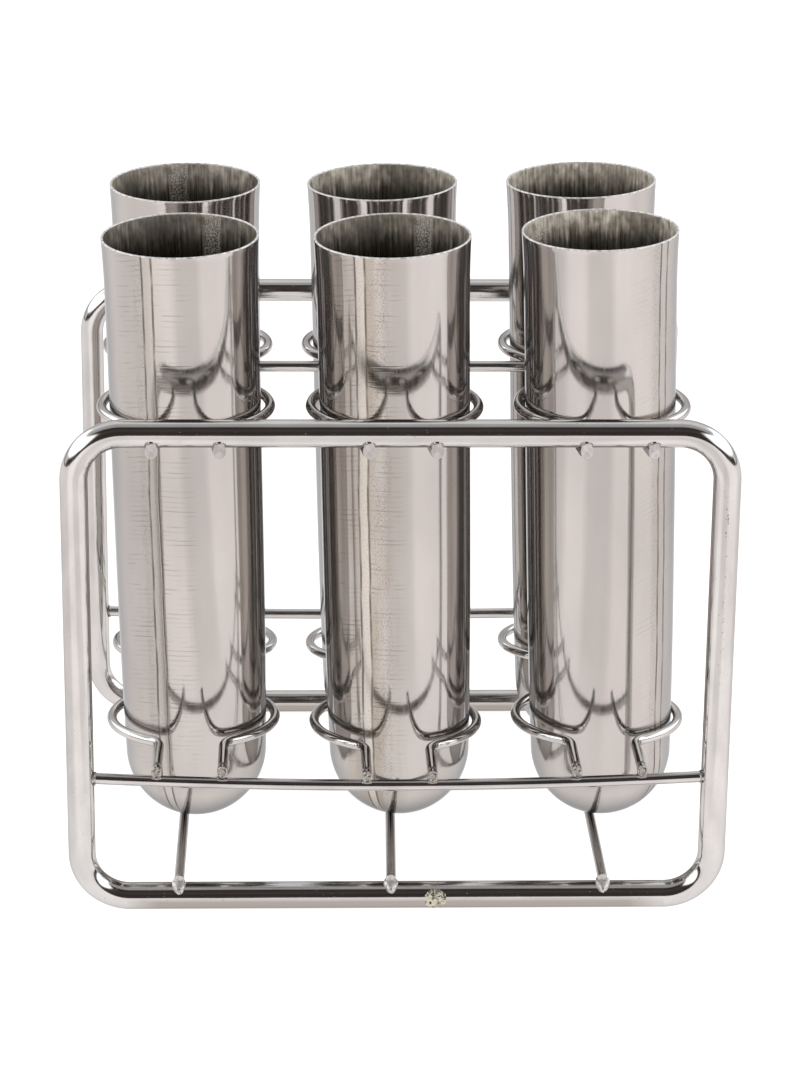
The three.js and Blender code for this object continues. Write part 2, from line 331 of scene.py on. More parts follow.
class Surface:
    """Rows of points joined into faces. Distances along and around are kept as texture coordinates."""

    def __init__(self):
        self.points = []
        self.faces = []
        self.texture = []
        self.finishes = []
        self.count = 0

    def add(self, rows, along, around, finish=0, closed=False):
        """Joins rows of points. Each strip between two rows takes its finish by number."""
        rows = np.asarray(rows, float)
        count, sides = rows.shape[:2]
        index = self.count + np.arange(count * sides).reshape(count, sides)
        if closed:
            index = np.vstack([index, index[:1]])
        onward = np.roll(index, -1, axis=1)
        strips = len(index) - 1
        faces = np.stack([index[:-1], onward[:-1], onward[1:], index[1:]], axis=-1)
        here = np.broadcast_to(np.asarray(along)[:-1, None], (strips, sides))
        there = np.broadcast_to(np.asarray(along)[1:, None], (strips, sides))
        near = np.broadcast_to(np.asarray(around)[None, :-1], (strips, sides))
        far = np.broadcast_to(np.asarray(around)[None, 1:], (strips, sides))
        places = [(here, near), (here, far), (there, far), (there, near)]
        texture = np.stack([np.stack(pair, axis=-1) for pair in places], axis=-2)
        self.points.append(rows.reshape(-1, 3))
        self.faces.append(faces.reshape(-1, 4))
        self.texture.append(texture.reshape(-1, 2))
        self.finishes.append(np.repeat(np.broadcast_to(finish, strips), sides))
        self.count += count * sides

    def build(self, name, materials):
        """A smooth object made of all the faces added."""
        mesh = bpy.data.meshes.new(name)
        mesh.from_pydata(np.vstack(self.points).tolist(), [], np.vstack(self.faces).tolist())
        layer = mesh.uv_layers.new(name=LAY)
        layer.data.foreach_set("uv", np.vstack(self.texture).ravel())
        mesh.polygons.foreach_set("material_index", np.concatenate(self.finishes))
        for material in materials:
            mesh.materials.append(material)
        shape = bmesh.new()
        shape.from_mesh(mesh)
        bmesh.ops.remove_doubles(shape, verts=shape.verts, dist=MERGE_DISTANCE)
        for face in shape.faces:
            face.smooth = True
        shape.to_mesh(mesh)
        shape.free()
        piece = bpy.data.objects.new(name, mesh)
        bpy.context.scene.collection.objects.link(piece)
        return piece


def place(piece, body, slot, *nodes):
    """The piece rides a body and stands for the named nodes, which it hides. The slot is not used."""
    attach(piece, body)
    if nodes:
        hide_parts(*nodes)


def node_points(node):
    """A solid's vertices."""
    return np.array([vertex.co for vertex in frame["nodes"][node].data.vertices])


def node_box(node):
    """A solid's lowest and highest corners."""
    low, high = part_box(node)
    return np.array(low), np.array(high)


def lengths(points):
    """Distance of each point along a path from its start."""
    steps = np.linalg.norm(np.diff(points, axis=0), axis=1)
    return np.concatenate([[0.0], np.cumsum(steps)])


def dense(points, step):
    """The same path with no gap between points longer than a step."""
    points = np.asarray(points, float)
    finer = [points[:1]]
    for start, end in zip(points[:-1], points[1:]):
        parts = max(1, math.ceil(np.linalg.norm(end - start) / step))
        shares = np.linspace(0, 1, parts + 1)[1:, None]
        finer.append(start + (end - start) * shares)
    return np.vstack(finer)


def smooth_step(share):
    """From 0 to 1 with an easy start and end."""
    share = np.clip(share, 0, 1)
    return share * share * (3 - 2 * share)


def roughened(points, scale, seed):
    """Smooth noise between about -1 and 1 at each point."""
    shifted = (points * scale + seed).reshape(-1, 3)
    values = [noise_field.noise(Vector(point)) for point in shifted]
    return np.array(values).reshape(points.shape[:-1])


def sweep(surface, points, radii, up, sides, closed=False, ends=()):
    """A round wire along a path. The radii are the one along up and the one across."""
    if closed:
        heading = np.roll(points, -1, axis=0) - np.roll(points, 1, axis=0)
    else:
        heading = np.gradient(points, axis=0)
    heading /= np.linalg.norm(heading, axis=1)[:, None]
    over = up - heading * (heading @ up)[:, None]
    over /= np.linalg.norm(over, axis=1)[:, None]
    across = np.cross(heading, over)
    tall = np.broadcast_to(radii[0], len(points))
    wide = np.broadcast_to(radii[1], len(points))
    scale = min(tall[0], wide[0])
    turns = np.linspace(0, 2 * math.pi, sides + 1)
    circle = turns[:-1]

    def section(index, shift, share):
        """The wire's outline at a point of the path, shifted along it and shrunk to a share."""
        centre = points[index] + heading[index] * shift
        rise = np.outer(np.cos(circle), over[index]) * tall[index]
        reach = np.outer(np.sin(circle), across[index]) * wide[index]
        return centre + (rise + reach) * share

    rows = [section(index, 0, 1) for index in range(len(points))]
    along = lengths(points)
    if closed:
        gap = np.linalg.norm(points[0] - points[-1])
        along = np.append(along, along[-1] + gap)
    finish = np.zeros(len(along) - 1, int)
    if ends:
        past = [section(-1, shift * scale, share) for shift, share in ends[1:]]
        before = [section(0, -shift * scale, share) for shift, share in ends[1:]]
        rows = before[::-1] + rows + past
        shrinking = -np.diff([share for shift, share in ends])
        spread = np.cumsum(scale * (shrinking + END_STEP))
        along = np.concatenate([-spread[::-1], along, along[-1] + spread])
        cap = np.ones(len(past), int)
        finish = np.concatenate([cap, finish, cap])
    surface.add(np.array(rows), along, turns * wide.mean(), finish, closed)


def lump(surface, centre, radii, turn, seed, taper=0.0):
    """A small mass of melted metal. The columns of turn are its own axes."""
    rise = np.linspace(-math.pi / 2, math.pi / 2, LUMP_ROWS)[:, None]
    turns = np.linspace(0, 2 * math.pi, LUMP_SIDES + 1)
    circle = turns[None, :-1]
    ball = np.stack(
        [np.cos(rise) * np.cos(circle), np.cos(rise) * np.sin(circle), np.sin(rise) * np.ones_like(circle)],
        axis=-1,
    )
    bulges = roughened(ball, 1.7, seed) + 0.5 * roughened(ball, 4.1, seed + 9)
    swell = 1 + LUMP_UNEVENNESS * bulges
    shape = ball * swell[..., None] * np.asarray(radii)
    shape[..., 0] *= 1 + taper * ball[..., 2]
    rows = np.asarray(centre) + shape @ np.asarray(turn).T
    surface.add(np.clip(rows, *cad_box), rise[:, 0] * radii[2], turns * radii[0])


class Nodes:
    """Shader nodes, added and joined one by one."""

    def __init__(self, tree):
        self.tree = tree
        tree.nodes.clear()

    def node(self, kind, *values, **settings):
        made = self.tree.nodes.new(kind)
        for key, value in settings.items():
            setattr(made, key, value)
        for socket, value in zip(made.inputs, values):
            self.feed(socket, value)
        return made

    def feed(self, socket, value):
        """A socket takes another node's output or a fixed value."""
        if isinstance(value, bpy.types.NodeSocket):
            self.tree.links.new(value, socket)
        else:
            socket.default_value = value

    def math(self, operation, *values):
        return self.node("ShaderNodeMath", *values, operation=operation).outputs[0]

    def product(self, first, *others):
        for value in others:
            first = self.math("MULTIPLY", first, value)
        return first

    def ramp(self, value, *stops):
        """Colours, or plain numbers, between places on a scale from 0 to 1."""
        made = self.node("ShaderNodeValToRGB", value)
        elements = made.color_ramp.elements
        while len(elements) < len(stops):
            elements.new(0.5)
        for element, (position, tone) in zip(elements, stops):
            element.position = position
            element.color = (*tone, 1.0) if isinstance(tone, tuple) else (tone, tone, tone, 1.0)
        return made.outputs["Color"]

    def mix(self, share, first, second):
        made = self.tree.nodes.new("ShaderNodeMix")
        made.data_type = "RGBA"
        self.feed(made.inputs[0], share)
        for index, tone in ((MIX_FIRST, first), (MIX_SECOND, second)):
            self.feed(made.inputs[index], (*tone, 1.0) if isinstance(tone, tuple) else tone)
        return made.outputs[MIX_RESULT]


class Finish(Nodes):
    """A metal whose shader is driven by textures laid along and around the piece."""

    def __init__(self, name):
        self.material = bpy.data.materials.new(name)
        self.material.use_nodes = True
        super().__init__(self.material.node_tree)
        self.shader = self.node("ShaderNodeBsdfPrincipled")
        self.node("ShaderNodeOutputMaterial", self.shader.outputs["BSDF"])
        self.shader.inputs["Metallic"].default_value = 1.0
        self.shader.inputs["Specular Tint"].default_value = EDGE_TINT
        self.lay = self.node("ShaderNodeUVMap", uv_map=LAY).outputs["UV"]
        split = self.node("ShaderNodeSeparateXYZ", self.lay)
        self.along = split.outputs["X"]
        self.around = split.outputs["Y"]

    def noise(self, along, around, detail, shift=0.0):
        """Noise with so many features per metre along and around."""
        scales = (along, around, 0.0)
        stretched = self.node("ShaderNodeVectorMath", self.lay, scales, operation="MULTIPLY")
        shifts = (shift, shift, shift)
        moved = self.node("ShaderNodeVectorMath", stretched.outputs[0], shifts, operation="ADD")
        made = self.node("ShaderNodeTexNoise", moved.outputs[0])
        made.inputs["Scale"].default_value = 1.0
        made.inputs["Detail"].default_value = detail
        return made.outputs["Fac"]

    def bump(self, height, distance, strength):
        made = self.tree.nodes.new("ShaderNodeBump")
        made.inputs["Strength"].default_value = strength
        made.inputs["Distance"].default_value = distance
        self.feed(made.inputs["Height"], height)
        self.feed(self.shader.inputs["Normal"], made.outputs["Normal"])

    def coat(self, colour, roughness):
        self.feed(self.shader.inputs["Base Color"], colour)
        self.feed(self.shader.inputs["Roughness"], roughness)


def scar_pits(finish, scar):
    """Clustered pits in a narrow window on one side of a rod."""
    middle, half_length, turn, half_width = scar
    off_middle = finish.math("ABSOLUTE", finish.math("SUBTRACT", finish.along, middle))
    off_line = finish.math("ABSOLUTE", finish.math("SUBTRACT", finish.around, turn))
    in_length = finish.math("LESS_THAN", off_middle, half_length)
    in_width = finish.math("LESS_THAN", off_line, half_width)
    specks = finish.ramp(finish.noise(1300, 3400, 1, 67), (0.6, 0.0), (0.66, 1.0))
    clusters = finish.ramp(finish.noise(120, 0, 1, 73), (0.44, 0.0), (0.54, 1.0))
    return finish.product(in_length, in_width, specks, clusters)


def underside_shade_share(finish, underside_shade):
    """How far the painted shade under the bar covers the rod."""
    start, length, girth = underside_shade
    lengthwise = finish.math("DIVIDE", finish.math("SUBTRACT", finish.along, start), length)
    underneath = finish.ramp(finish.math("DIVIDE", finish.around, girth), *UNDERSIDE_SHADE_TURNS)
    return finish.product(underneath, finish.ramp(lengthwise, *UNDERSIDE_SHADE_REACH))


def wire_steel(name, light, dark, smoothest, roughest, pitted, scar=None, underside_shade=None):
    """Drawn, polished wire: fine lines along it, cloudy tone, a few pits, and a scar or a painted shade
    underneath where given.
    """
    finish = Finish(name)
    lines = finish.noise(70, 5200, 2)
    clouds = finish.noise(110, 260, 3, 7)
    waves = finish.noise(45, 120, 1, 19)
    pits = finish.ramp(finish.noise(1700, 2300, 1, 31), (pitted, 0.0), (pitted + PIT_EDGE, 1.0))
    if scar:
        pits = finish.math("MAXIMUM", pits, scar_pits(finish, scar))
    tone = finish.ramp(clouds, (0.3, dark), (0.68, light))
    # Painted shade: a darker tone on the underside of a bottom bar
    if underside_shade:
        tone = finish.mix(underside_shade_share(finish, underside_shade), tone, UNDERSIDE_SHADE_TONE)
    worn = finish.mix(pits, tone, tuple(part * PIT_SHADE for part in dark))
    streaky = finish.math("MULTIPLY_ADD", lines, 0.5, finish.math("MULTIPLY", clouds, 0.5))
    gloss = finish.ramp(streaky, (0.3, smoothest), (0.7, roughest))
    finish.coat(worn, finish.math("MULTIPLY_ADD", pits, 0.25, gloss))
    fine = finish.math("MULTIPLY_ADD", lines, 0.12, waves)
    finish.bump(finish.math("SUBTRACT", fine, finish.math("MULTIPLY", pits, 0.6)), WIRE_RELIEF, 0.5)
    return finish.material


def weld_steel(name, light, dark, grain, depth=0.25, dullest=0.42):
    """Melted metal: lumpy to a depth in millimetres, dull and tinted by heat."""
    finish = Finish(name)
    grains = finish.noise(grain, grain, 4)
    patches = finish.noise(grain * 0.35, grain * 0.35, 2, 11)
    finish.coat(
        finish.ramp(patches, (0.34, dark), (0.5, light), (0.66, tuple(part * 0.8 for part in light))),
        finish.ramp(grains, (0.3, dullest / 3), (0.7, dullest)),
    )
    finish.bump(grains, depth * MM, 0.7)
    return finish.material


def seam_edges(finish, off_seam):
    """Broken dark lines at both edges of a seam, and the band between them."""
    off_edge = finish.math("ABSOLUTE", finish.math("SUBTRACT", off_seam, SEAM_HALF))
    broken = finish.ramp(finish.noise(160, 700, 2, 37), (0.34, 0.45), (0.55, 1.0))
    drawn = finish.ramp(finish.math("DIVIDE", off_edge, SEAM_LINE_REACH), (0.12, 1.0), (0.34, 0.0))
    band = finish.ramp(finish.math("DIVIDE", off_seam, SEAM_BAND_REACH), (0.24, 1.0), (0.34, 0.0))
    return finish.product(broken, drawn), band


def seam_specks(finish, strayed, band, worn_side, browned):
    """Grains on a seam's band and, in patches, on the worn strip beside it."""
    strip_place = worn_side * (WORN_PLACE[0] + WORN_PLACE[1] * browned)
    strip_width = WORN_WIDTH[0] + WORN_WIDTH[1] * browned
    off_strip = finish.math("ABSOLUTE", finish.math("SUBTRACT", strayed, strip_place))
    worn = finish.ramp(finish.math("DIVIDE", off_strip, strip_width), (0.3, 1.0), (0.6, 0.0))
    grains = finish.ramp(finish.noise(2600, 2600, 3, 41), (0.46, 0.0), (0.64, 1.0))
    clusters = finish.ramp(finish.noise(170, 420, 3, 97), (0.36, 0.25), (0.62, 0.8))
    patchy = finish.product(worn, clusters)
    return finish.product(grains, finish.math("MULTIPLY_ADD", band, 0.3, patchy))


def tool_marks(finish, across, dome_top, marked):
    """Short marks across the wall beside a seam, of uneven strength, and none on the round end."""
    slanted = finish.math("MULTIPLY_ADD", finish.math("MINIMUM", across, 0.0), MARK_SLANT, finish.along)
    uneven = finish.math("MULTIPLY", finish.noise(190, 45, 2, 5), 9.0)
    wave = finish.math("SINE", finish.math("MULTIPLY_ADD", slanted, 2 * math.pi / MARK_PITCH, uneven))
    lines = finish.ramp(finish.math("MULTIPLY_ADD", wave, 0.5, 0.5), (0.8, 0.0), (0.97, 1.0))
    pressed = finish.ramp(finish.noise(330, 30, 1, 91), (0.4, 0.2), (0.66, 1.0))
    gaps = finish.ramp(finish.noise(420, 150, 2, 23), (0.42, 0.0), (0.58, 1.0))
    above_dome = finish.ramp(finish.math("DIVIDE", finish.along, -dome_top), (0.96, 1.0), (1.0, 0.0))
    off_seam = finish.math("DIVIDE", finish.math("ABSOLUTE", across), MARK_REACH)
    beside = finish.ramp(off_seam, (0.07, 0.0), (0.1, 1.0), (0.42, 0.8), (0.62, 0.0))
    return finish.product(lines, pressed, gaps, above_dome, beside, marked)


def wall_tone(finish, across, band, dome_top, dome, browned):
    """Cloudy tone, browned beside the seams, pale on their bands, and a painted shade darkening the lower
    part of the round end.
    """
    clouds = finish.noise(40, 130, 3, 29)
    tone = finish.ramp(clouds, (0.3, WALL_TONES[0]), (0.7, WALL_TONES[1]))
    off_seam = finish.math("DIVIDE", finish.math("ABSOLUTE", across), BROWN_REACH)
    warmth = finish.ramp(off_seam, (0.1, browned), (1.0, 0.0))
    blotches = finish.ramp(finish.noise(30, 300, 3, 53), (0.35, 0.2), (0.62, 1.0))
    browner = finish.mix(finish.product(warmth, blotches), tone, BROWN_TONE)
    banded = finish.mix(finish.product(band, 0.75 * browned), browner, SEAM_TONE)
    # Painted shade: the round end darkens towards the bottom, standing in for the shadowed floor it mirrors
    below = finish.math("MULTIPLY", finish.math("ADD", finish.along, dome_top), -1.0 / dome)
    shade = finish.ramp(below, (0.4, 0.0), (0.75, 0.5), (0.92, 1.0))
    return finish.mix(shade, banded, DOME_PAINTED_SHADE)


def tube_outside(name, half_turn, dome_top, dome, worn_side, marked, browned):
    """Rolled and ground sheet: upright brushing, two ground weld seams, and tool marks beside them."""
    finish = Finish(f"{name}_outside_steel")
    finish.shader.inputs["Specular Tint"].default_value = TUBE_EDGE_TINT
    finish.shader.inputs["Metallic"].default_value = TUBE_METAL
    across = finish.math("WRAP", finish.around, half_turn / 2, -half_turn / 2)
    stray = finish.math("MULTIPLY_ADD", finish.noise(60, 0, 2, 3), SEAM_STRAY, -SEAM_STRAY / 2)
    strayed = finish.math("ADD", across, stray)
    edge_line, band = seam_edges(finish, finish.math("ABSOLUTE", strayed))
    specks = seam_specks(finish, strayed, band, worn_side, browned)
    marks = tool_marks(finish, across, dome_top, marked)

    tone = wall_tone(finish, across, band, dome_top, dome, browned)
    lined = finish.mix(finish.product(edge_line, 0.85), tone, SEAM_LINE_TONE)
    scored = finish.mix(finish.product(marks, 0.75), lined, MARK_TONE)
    speckled = finish.mix(finish.product(specks, 0.5 + 0.3 * browned), scored, SPECK_TONE)
    brushing = finish.noise(14, 3000, 3, 13)
    gloss = finish.ramp(brushing, (0.3, 0.06), (0.7, 0.13))
    rougher = finish.math("MULTIPLY_ADD", finish.math("ADD", band, specks), 0.1, gloss)
    finish.coat(speckled, finish.math("MULTIPLY_ADD", edge_line, 0.15, rougher))

    sunk = finish.math("MULTIPLY_ADD", edge_line, -0.5, finish.product(brushing, 0.1))
    dented = finish.math("MULTIPLY_ADD", finish.noise(25, 80, 1, 61), 1.4, sunk)
    finish.bump(finish.math("MULTIPLY_ADD", marks, -0.15, dented), TUBE_RELIEF, 0.6)
    return finish.material


def mouth_painted_light(finish, depth, mouth_light_strength):
    """Painted light in the bore below its rim, in mottled streaks of uneven reach, with patches of painted
    highlight.
    """
    least, more = MOUTH_LIGHT_REACH
    reach = finish.math("MULTIPLY_ADD", finish.noise(40, 1100, 3, 47), more, least)
    fallen = finish.math("DIVIDE", depth, reach)
    below_rim = finish.ramp(fallen, (0.0, 0.95), (0.3, 0.68), (0.62, 0.14), (1.0, 0.0))
    # Broad patches of painted highlight near the rim
    patches = finish.ramp(finish.noise(8, 60, 1, 71), (0.36, 0.5), (0.6, 1.15))
    mottle = finish.ramp(finish.noise(380, 520, 3, 29), (0.36, 0.62), (0.64, 1.25))
    runs = finish.ramp(finish.noise(60, 1600, 3, 83), (0.34, 0.72), (0.64, 1.16))
    return finish.product(below_rim, patches, mottle, runs, mouth_light_strength)


def tube_inside(name, half_turn, mouth_light_strength):
    """Unpolished bore: painted light at the mouth, dark below it, clean deep down, a speckled band at each
    seam.
    """
    finish = Finish(f"{name}_inside_steel")
    across = finish.math("WRAP", finish.around, half_turn / 2, -half_turn / 2)
    depth = finish.math("MULTIPLY", finish.along, -1.0)
    mouth_light = mouth_painted_light(finish, depth, mouth_light_strength)
    off_seam = finish.math("DIVIDE", finish.math("ABSOLUTE", across), BORE_BAND_REACH)
    band = finish.ramp(off_seam, (0.28, 1.0), (0.42, 0.0))
    grains = finish.ramp(finish.noise(2400, 2400, 2, 17), (0.45, 0.0), (0.62, 1.0))
    specks = finish.product(band, grains)
    streaks = finish.noise(18, 2000, 3, 3)
    dark = finish.ramp(streaks, (0.3, BORE_TONES[0]), (0.7, BORE_TONES[1]))
    clean = finish.ramp(finish.math("DIVIDE", depth, CLEAN_DEPTH), (0.22, 0.0), (0.5, 1.0))
    # Painted light: the bore is paler just below the rim, fading with depth
    lit = finish.mix(mouth_light, finish.mix(clean, dark, CLEAN_TONE), MOUTH_LIGHT_TONE)
    dulled = finish.math("MULTIPLY_ADD", mouth_light, 0.3, finish.ramp(streaks, (0.3, 0.22), (0.7, 0.34)))
    finish.coat(
        finish.mix(finish.product(specks, 0.8), lit, BORE_SPECK_TONE),
        finish.math("MULTIPLY_ADD", band, 0.16, dulled),
    )
    finish.feed(finish.shader.inputs["Metallic"], finish.math("MULTIPLY_ADD", mouth_light, -0.8, 1.0))
    finish.bump(finish.math("MULTIPLY_ADD", specks, 0.4, streaks), BORE_RELIEF, 0.5)
    return finish.material


def tube_lip():
    """The cut edge of the sheet, ground bright."""
    finish = Finish("tube_lip_steel")
    ticks = finish.noise(900, 900, 3)
    finish.coat(
        finish.ramp(ticks, (0.34, LIP_TONES[0]), (0.6, LIP_TONES[1])),
        finish.ramp(ticks, (0.3, 0.3), (0.7, 0.5)),
    )
    finish.shader.inputs["Metallic"].default_value = LIP_METAL
    finish.bump(ticks, TUBE_RELIEF, 0.5)
    return finish.material


# Wires: light and dark tone, least and most roughness, and how strong the noise is where pits begin
LOOP_STEEL = ((0.6, 0.583, 0.572), (0.525, 0.508, 0.497), 0.06, 0.14, 0.74)
crossbar_steel = wire_steel("crossbar_steel", (0.56, 0.54, 0.53), (0.47, 0.455, 0.445), 0.08, 0.18, 0.76)
bottom_steel = wire_steel("bottom_rod_steel", (0.54, 0.52, 0.51), (0.44, 0.42, 0.41), 0.1, 0.2, 0.76)
ring_steel = wire_steel("ring_steel", (0.62, 0.6, 0.585), (0.53, 0.51, 0.495), 0.06, 0.14, 0.76)

# Cut ends and welds: light and dark tone, grains per metre and, where not as usual, depth and dullness
cut_steel = weld_steel("cut_steel", (0.52, 0.5, 0.49), (0.42, 0.4, 0.39), 700, 0.05)
bright_weld = weld_steel("bright_weld", (0.6, 0.58, 0.57), (0.4, 0.38, 0.37), 1500)
pad_steel = weld_steel("pad_steel", (0.7, 0.68, 0.665), (0.5, 0.48, 0.465), 1500, 0.2, 0.75)
dark_weld = weld_steel("dark_weld", (0.5, 0.47, 0.44), (0.04, 0.034, 0.03), 3200)
burnt_weld = weld_steel("burnt_weld", (0.62, 0.58, 0.46), (0.05, 0.04, 0.03), 2200)
lip_steel = tube_lip()


def build_loop(row):
    """One end of the rack: a rounded rectangle of thick rod."""
    node = f"{row}_loop"
    low, high = node_box(node)
    radius = (high[1] - low[1]) / 2
    plane = (low[1] + high[1]) / 2 - ROWS[row] * LOOP_SETBACK
    left, right = low[0] + radius, high[0] - radius
    bottom, top = low[2] + radius, high[2] - radius
    bends = (
        (right - LOOP_BEND, bottom + LOOP_BEND, -90),
        (right - LOOP_BEND, top - LOOP_BEND, 0),
        (left + LOOP_BEND, top - LOOP_BEND, 90),
        (left + LOOP_BEND, bottom + LOOP_BEND, 180),
    )
    outline = []
    for x, z, start in bends:
        for turn in np.radians(start + np.linspace(0, 90, BEND_STEPS + 1)):
            outline.append((x + LOOP_BEND * math.cos(turn), plane, z + LOOP_BEND * math.sin(turn)))
    path = dense(outline + outline[:1], RUN_STEP)[:-1]
    surface = Surface()
    sweep(surface, path, (radius, radius), np.array([0, 1.0, 0]), ROD_SIDES, closed=True)
    scar = None
    if row == "front":
        start = LOOP_BEND * math.pi / 2 + SCAR_HEIGHT - bottom - LOOP_BEND
        scar = (start, SCAR_LENGTH / 2, math.pi * radius, SCAR_WIDTH / 2)
    bar = right - left - 2 * LOOP_BEND
    # Painted shade along the underside of the bottom bar
    underside_shade = (lengths(path)[-1] - bar, bar, 2 * math.pi * radius)
    steel = wire_steel(f"{row}_loop_steel", *LOOP_STEEL, scar, underside_shade)
    place(surface.build(f"{row}_loop_rod", [steel]), "rack", "loop_rod", node)


def build_butt_weld():
    """The burnt, lumpy patch where the front loop's ends meet."""
    low, high = node_box("front_loop")
    radius = (high[1] - low[1]) / 2
    centre = np.array([BUTT_WELD_X, (low[1] + high[1]) / 2 + LOOP_SETBACK, low[2] + radius])
    places = np.linspace(-1, 1, BUTT_WELD_ROWS)
    turns = np.linspace(-math.pi, math.pi, BUTT_WELD_SIDES + 1)
    circle = turns[:-1]
    ring = np.stack([np.zeros_like(circle), -np.cos(circle), np.sin(circle)], axis=-1)
    spots = places[:, None, None] * np.array([BUTT_WELD_WIDTH / 2, 0, 0]) + radius * ring[None]
    ragged = roughened(spots, 600, 3.0) + 0.8 * roughened(spots, 1500, 8.0)
    off_middle = circle / BUTT_WELD_SPREAD
    bead = np.clip(0.8 - places[:, None] ** 2 - off_middle[None] ** 2 + 0.6 * ragged, 0, 1)
    lumpy = np.sqrt(bead) * (0.5 + 0.8 * ragged)
    proud = BUTT_WELD_PROUD * lumpy - BUTT_WELD_SINK * (bead < 0.02)
    rows = np.maximum(centre + spots + proud[..., None] * ring[None], low)
    surface = Surface()
    surface.add(rows, places * BUTT_WELD_WIDTH / 2, turns * radius)
    place(surface.build("front_loop_butt_weld", [burnt_weld]), "rack", "loop_rod")


def build_lower_crossbar(row):
    """The thin rod across a loop, bowed a little, its ends sunk into the uprights."""
    node = f"{row}_lower_crossbar"
    low, high = node_box(node)
    radius = (high[1] - low[1]) / 2
    half = (high[0] - low[0]) / 2 + CROSSBAR_SUNK
    shares = np.linspace(-1, 1, CROSSBAR_STEPS)
    bow = high[2] - low[2] - 2 * radius
    path = np.stack(
        [
            (low[0] + high[0]) / 2 + shares * half,
            np.full_like(shares, (low[1] + high[1]) / 2),
            low[2] + radius + bow * shares**2,
        ],
        axis=-1,
    )
    surface = Surface()
    sweep(surface, path, (radius, radius), np.array([0, 0, 1.0]), WIRE_SIDES)
    place(surface.build(f"{row}_lower_crossbar_rod", [crossbar_steel]), "rack", "crossbar_rod", node)
    welds = Surface()
    for side in (-1, 1):
        end = path[0] if side < 0 else path[-1]
        spot = end - np.array([side * CROSSBAR_SUNK, 0, 0])
        lump(welds, spot, radius * np.array(CROSSBAR_WELD), np.eye(3), 5.0 * side + len(row))
    place(welds.build(f"{row}_lower_crossbar_welds", [dark_weld]), "rack", "crossbar_rod")


def build_middle_crossbar():
    """The thin rod between the two rows, on the closed ends of the upper rings."""
    node = "middle_upper_crossbar"
    low, high = node_box(node)
    radius = (high[1] - low[1]) / 2
    middle = (low + high) / 2
    inset = MIDDLE_CROSSBAR_INSET * radius
    places = np.linspace(low[0] + inset, high[0] - inset, MIDDLE_CROSSBAR_STEPS)
    path = np.stack([places, np.full_like(places, middle[1]), np.full_like(places, middle[2])], axis=-1)
    surface = Surface()
    sweep(surface, path, (radius, radius), np.array([0, 0, 1.0]), WIRE_SIDES, ends=CUT_END)
    place(surface.build("middle_crossbar_rod", [crossbar_steel, bright_weld]), "rack", "crossbar_rod", node)


def rod_ends(node):
    """Middles of a bottom rod's front and back ends, and its radius."""
    points = node_points(node)
    front = points[points[:, 1] < points[:, 1].min() + TOUCH]
    back = points[points[:, 1] > points[:, 1].max() - TOUCH]
    start = (front.min(axis=0) + front.max(axis=0)) / 2
    end = (back.min(axis=0) + back.max(axis=0)) / 2
    radius = np.linalg.norm(front - start, axis=1).max() * math.cos(math.pi / CAD_WIRE_SIDES)
    return start, end, radius


def build_bottom_rod(column):
    """A rod under a column of tubes. Its ends are melted down over the loops' bottom bars."""
    node = f"bottom_rod_{column}"
    start, end, radius = rod_ends(node)
    heading = (end - start) / np.linalg.norm(end - start)
    low, high = node_box("front_loop")
    inset = heading * BOTTOM_ROD_INSET * (high[1] - low[1]) / 2
    path = dense([start + inset, end - inset], RUN_STEP)
    surface = Surface()
    sweep(surface, path, (radius, radius), np.array([0, 0, 1.0]), WIRE_SIDES, ends=CUT_END)
    place(surface.build(f"bottom_rod_{column}_wire", [bottom_steel, pad_steel]), "rack", "bottom_rod", node)
    pads = Surface()
    for row, tip in (("front", start), ("back", end)):
        low, high = node_box(f"{row}_loop")
        bar = (high[1] - low[1]) / 2
        centre = np.array([tip[0], (low[1] + high[1]) / 2 - ROWS[row] * LOOP_SETBACK, low[2] + bar])
        outward = np.array([0, ROWS[row] * math.cos(PAD_LEAN), math.sin(PAD_LEAN)])
        down = np.array([0, ROWS[row] * math.sin(PAD_LEAN), -math.cos(PAD_LEAN)])
        turn = np.stack([np.cross(outward, down), outward, down], axis=-1)
        spot = centre + outward * (bar + PAD_PROUD * radius) - down * PAD_BACK * radius
        seed = 7.0 * COLUMNS.index(column) + bar
        lump(pads, spot, radius * np.array(PAD_SIZE), turn, seed, PAD_TAPER)
    place(pads.build(f"bottom_rod_{column}_ends", [pad_steel]), "rack", "bottom_rod")


def ring_measures(node, row):
    """What a ring's path needs, read off its node."""
    points = node_points(node)
    out = points[:, 1] * ROWS[row]
    tips = points[out > out.max() - TIP_TOUCH]
    middle = (tips[:, 0].min() + tips[:, 0].max()) / 2
    left = tips[tips[:, 0] < middle]
    tip = (left.min(axis=0) + left.max(axis=0)) / 2
    wire = np.linalg.norm(left - tip, axis=1).max() * math.cos(math.pi / CAD_WIRE_SIDES)
    closed = points[out < out.min() + TIP_TOUCH]
    return {
        "wire": wire,
        "leg_half": middle - tip[0],
        "tip_x": middle,
        "tip_out": out.max(),
        "tip_z": tip[2],
        "closed_out": out.min() + wire,
        "closed_z": (closed[:, 2].min() + closed[:, 2].max()) / 2,
        "radius": (points[:, 0].max() - points[:, 0].min()) / 2 - wire,
        "centre_x": (points[:, 0].max() + points[:, 0].min()) / 2,
    }


